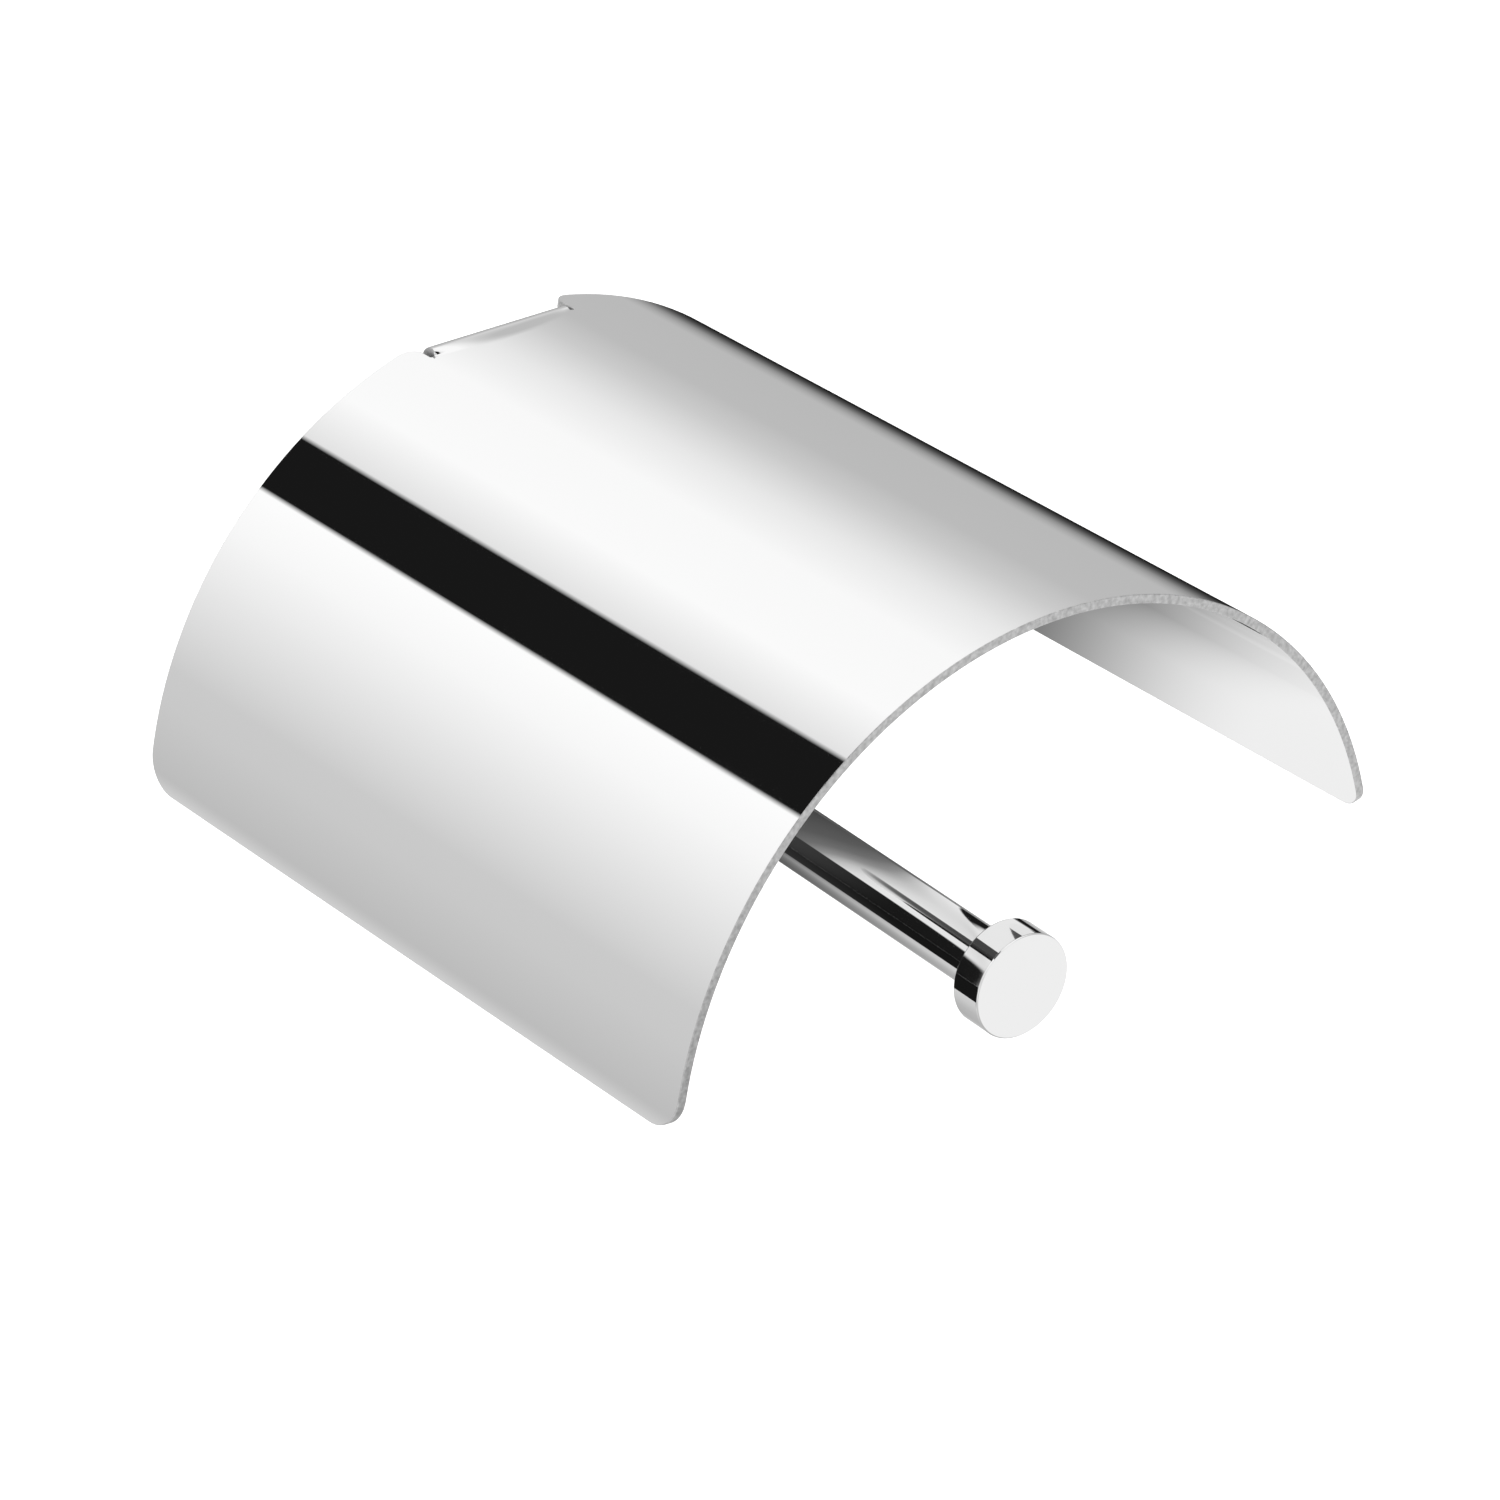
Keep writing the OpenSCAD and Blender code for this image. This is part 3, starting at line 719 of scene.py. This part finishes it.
def fading_card(name, start_mm, end_mm, levels):
    """A card of one grey that turns slowly into another, from start to end along X."""
    material, tree = new_material(name)
    place = node(tree, "ShaderNodeTexCoord").outputs["Object"]
    axes = node(tree, "ShaderNodeSeparateXYZ", {"Vector": place})
    share = node(tree, "ShaderNodeMapRange", {"Value": axes.outputs["X"],
                 "From Min": start_mm * MM, "From Max": end_mm * MM})
    tone = node(tree, "ShaderNodeMix", {0: share.outputs[0], 6: grey(levels[0]),
                7: grey(levels[1])}, data_type="RGBA")
    one_sided(tree, tone.outputs[2])
    return material


def end_card():
    """A card across the wall end with painted light and shade: a round bright patch low in its middle,
    a painted pool of light, that fades into painted shade upwards and to the rear, cut off sharply in
    front by near black, and white along its foot."""
    material, tree = new_material("lit_and_black_end_card")
    place = node(tree, "ShaderNodeTexCoord").outputs["Object"]
    cut_foot, patch_middle = (0, -72 * MM, -22 * MM), (0, -85 * MM, -25 * MM)
    across_cut, up_front = (0, 0.76, 0.65), (0, -0.6, 0.8)
    patch_levels = [(22, 0.945), (28, 0.89), (32, 0.79), (36, 0.58), (40, 0.45), (46, 0.37),
                    (62, 0.29)]  # by distance from the patch's middle, in millimetres
    reach = 64

    def fade(direction, start_mm, end_mm):
        """1 before start and 0 past end, along a direction from the foot of the cut."""
        away = node(tree, "ShaderNodeVectorMath", {0: place, 1: cut_foot}, operation="SUBTRACT")
        way = node(tree, "ShaderNodeVectorMath", {0: away.outputs[0], 1: direction},
                   operation="DOT_PRODUCT")
        return node(tree, "ShaderNodeMapRange", {"Value": way.outputs["Value"],
                    "From Min": start_mm * MM, "From Max": end_mm * MM, "To Min": 1.0,
                    "To Max": 0.0}, interpolation_type="SMOOTHSTEP").outputs[0]

    flat = node(tree, "ShaderNodeVectorMath", {0: place, 1: (0, 1, 1)}, operation="MULTIPLY")
    out = node(tree, "ShaderNodeVectorMath", {0: flat.outputs[0], 1: patch_middle},
               operation="DISTANCE")
    share = node(tree, "ShaderNodeMapRange", {"Value": out.outputs["Value"], "From Max": reach * MM})
    # The patch is painted light and shade: bright low in the middle, dimmer further out under the cover.
    patch = node(tree, "ShaderNodeValToRGB", {"Fac": share.outputs[0]},
                 stops=[(mm / reach, grey(level)) for mm, level in patch_levels])
    front = node(tree, "ShaderNodeMix", {0: fade(up_front, 15, 50), 6: grey(0.24), 7: grey(0.1)},
                 data_type="RGBA")
    cut = node(tree, "ShaderNodeMix", {0: fade(across_cut, 0.3, 1.5), 6: patch.outputs["Color"],
               7: front.outputs[2]}, data_type="RGBA")
    tone = node(tree, "ShaderNodeMix", {0: fade(up_front, -20, -16), 6: cut.outputs[2],
                7: grey(0.95)}, data_type="RGBA")
    one_sided(tree, tone.outputs[2])
    return material


def add_card(name, corners, material):
    """A flat card of the studio that only reflections see."""
    points = [Vector(c) * MM for c in corners]
    normal = (points[1] - points[0]).cross(points[2] - points[0]).normalized()
    card = new_piece(name, points, [normal] * len(points), [range(len(points))], [material])
    card.visible_camera = False
    card.visible_diffuse = False
    card.visible_shadow = False


def add_cards(k):
    """The cards round the holder: one under its front edge, one inside its wall end with a small
    white one at its foot, and a board below that turns up behind, with the holder's shadow painted on it."""
    gap, board_z, rear_top = 0.3, -50.0, 0.8
    near_end, far_end, flag_end = -150.0, 420.0, 150
    front = k.axis_y + (k.r - k.t / 2) * math.sin(k.front_angle)
    top = k.axis_z + k.r * math.cos(k.front_angle) - gap
    add_card("front_flag", [(flag_end, front, board_z), (near_end, front, board_z),
                            (near_end, front, top), (flag_end, front, top)],
             fading_card("near_black_flag", 35, 75, (0.18, 0.085)))

    x, r, steps = k.x0 + 7, k.r - k.t - gap, 24
    arc = [k.front_angle + (k.rear_angle - k.front_angle) * i / steps for i in range(steps + 1)]
    end = [(x, k.axis_y + r * math.sin(a), k.axis_z + r * math.cos(a)) for a in arc]
    end += [(x, end[-1][1], board_z), (x, end[0][1], board_z)]
    add_card("end_flag", end[::-1], end_card())

    foot_x, foot_far, foot_front, foot_rear, foot_z = x + gap, 44, -76, -58, board_z + 0.5
    add_card("foot_card", [(foot_x, foot_front, foot_z), (foot_far, foot_front, foot_z),
                           (foot_far, foot_rear, foot_z), (foot_x, foot_rear, foot_z)],
             fading_card("white_foot_card", 30, 70, (0.93, 0.9)))

    # Where the painted shadow under the holder ends along X, and how bright the board is past it.
    floor_shadow_edges = [(0.0, 52), (0.15, 57), (0.3, 78), (0.43, 90), (0.57, 88), (0.7, 46),
                   (0.86, 52), (1.0, 66)]
    floor_tops = [(0.0, 0.81), (0.15, 0.78), (0.3, 0.71), (0.43, 0.69), (0.57, 0.74),
                  (0.68, 0.93), (1.0, 0.93)]
    add_card("light_board", [(near_end, front, board_z), (far_end, front, board_z),
                             (far_end, 0, board_z), (near_end, 0, board_z)],
             card_with_painted_shadow("floor_board_painted_shadow", "Y", (front, 0), floor_shadow_edges, floor_tops))
    # The board behind stands for the wall, with the holder's painted shadow towards the post.
    add_card("rear_board", [(near_end, 0, board_z), (far_end, 0, board_z),
                            (far_end, 0, rear_top), (near_end, 0, rear_top)],
             card_with_painted_shadow("back_board_painted_shadow", "Z", (board_z, rear_top), [(0.0, 66), (1.0, 105)],
                         [(0.0, 0.92), (1.0, 0.89)]))


def floor_material(glow):
    """Backlit opal acrylic: an even white with the faintest mottling."""
    material, tree = new_material("backlit_opal_acrylic")
    place = node(tree, "ShaderNodeTexCoord").outputs["Object"]
    mottle = node(tree, "ShaderNodeTexNoise", {"Vector": place, "Scale": 1 / (400 * MM)})
    tone = node(tree, "ShaderNodeValToRGB", {"Fac": mottle.outputs["Fac"]},
                stops=[(0.3, linear("#F6F6F6")), (0.7, linear("#FAFAFA"))])
    shader = node(tree, "ShaderNodeBsdfPrincipled", {
        "Base Color": tone.outputs["Color"], "Roughness": 0.9, "IOR": 1.49,
        "Emission Color": linear("#FFFFFF"), "Emission Strength": glow})
    node(tree, "ShaderNodeOutputMaterial", {"Surface": shader.outputs["BSDF"]})
    return material


# ---------------------------------------------------------------- operators

class HOLDER_OT_cover(bpy.types.Operator):
    """Build the curved cover as one rolled and bent sheet"""
    bl_idname = "holder.cover"
    bl_label = "Cover"

    def execute(self, context):
        colours = context.scene.holder_colours
        piece = build_cover(context.scene.holder_cover, polished(colours), cut_edge(colours.cut_edge))
        place_in_frame(piece, "cover", "cover")
        return {"FINISHED"}


class HOLDER_OT_rod(bpy.types.Operator):
    """Turn the rod and its end cap"""
    bl_idname = "holder.rod"
    bl_label = "Rod and end cap"

    def execute(self, context):
        sizes, chrome = context.scene.holder_turned, polished(context.scene.holder_colours)
        place_in_frame(build_rod(sizes, chrome), "rod", "mount")
        place_in_frame(build_cap(sizes, chrome), "end_cap", "mount")
        return {"FINISHED"}


class HOLDER_OT_mounting(bpy.types.Operator):
    """Give the spindle, the post and the rosette their chrome"""
    bl_idname = "holder.mounting"
    bl_label = "Post and rosette"

    def execute(self, context):
        chrome = polished(context.scene.holder_colours)
        for name in ("spindle", "post", "rosette"):
            paint(name, chrome)
        return {"FINISHED"}


class HOLDER_OT_hardware(bpy.types.Operator):
    """Give the washers, studs, screws and seals their finishes"""
    bl_idname = "holder.hardware"
    bl_label = "Hardware"

    def execute(self, context):
        for name, material in finishes(context.scene.holder_colours).items():
            paint(name, material)
        return {"FINISHED"}


class HOLDER_OT_stage(bpy.types.Operator):
    """Add the camera, the floor and the light"""
    bl_idname = "holder.stage"
    bl_label = "Stage"

    def execute(self, context):
        stage = context.scene.holder_stage
        data = bpy.data.cameras.new("camera")
        data.sensor_width = 36
        data.lens = stage.lens
        data.clip_end = 20
        camera = bpy.data.objects.new("camera", data)
        context.scene.collection.objects.link(camera)
        a, e = stage.azimuth, stage.elevation
        back = Vector((math.sin(a) * math.cos(e), -math.cos(a) * math.cos(e), math.sin(e)))
        camera.location = Vector(stage.aim) + back * stage.distance
        camera.rotation_euler = back.to_track_quat("Z", "Y").to_euler()
        bpy.context.scene.camera = camera

        half = stage.floor_size / 2
        z = CAD_BOX[0].z - stage.floor_drop
        corners = [(-half, -half, z), (half, -half, z), (half, half, z), (-half, half, z)]
        floor = new_piece("floor", corners, [UP] * 4, [(0, 1, 2, 3)],
                          [floor_material(stage.floor_glow)])
        floor.visible_glossy = False
        floor.visible_diffuse = False
        add_cards(cover_numbers(context.scene.holder_cover))
        studio_light()
        context.scene.view_settings.view_transform = "Standard"
        return {"FINISHED"}


class HOLDER_PT_panel(bpy.types.Panel):
    """Lists the holder's pieces and the stage"""
    bl_idname = "HOLDER_PT_panel"
    bl_label = "Toilet Paper Holder"
    bl_space_type = "VIEW_3D"
    bl_region_type = "UI"
    bl_category = "Holder"

    def draw(self, context):
        for operator in OPERATORS:
            self.layout.operator(operator.bl_idname)
        for name, cls in GROUPS.items():
            box = self.layout.box()
            for size in cls.__annotations__:
                box.prop(getattr(context.scene, name), size)


OPERATORS = (HOLDER_OT_stage, HOLDER_OT_cover, HOLDER_OT_rod, HOLDER_OT_mounting, HOLDER_OT_hardware)
GROUPS = {"holder_cover": HolderCoverSizes, "holder_turned": HolderTurnedSizes,
          "holder_colours": HolderColours, "holder_stage": HolderStageSettings}


def register():
    for cls in (*GROUPS.values(), *OPERATORS, HOLDER_PT_panel):
        bpy.utils.register_class(cls)
    for name, cls in GROUPS.items():
        setattr(bpy.types.Scene, name, PointerProperty(type=cls))


def unregister():
    for name in GROUPS:
        delattr(bpy.types.Scene, name)
    for cls in reversed((*GROUPS.values(), *OPERATORS, HOLDER_PT_panel)):
        bpy.utils.unregister_class(cls)


def main():
    """Builds everything."""
    register()
    bpy.ops.holder.stage()
    bpy.ops.holder.cover()
    bpy.ops.holder.rod()
    bpy.ops.holder.mounting()
    bpy.ops.holder.hardware()


if __name__ == "__main__":
    main()
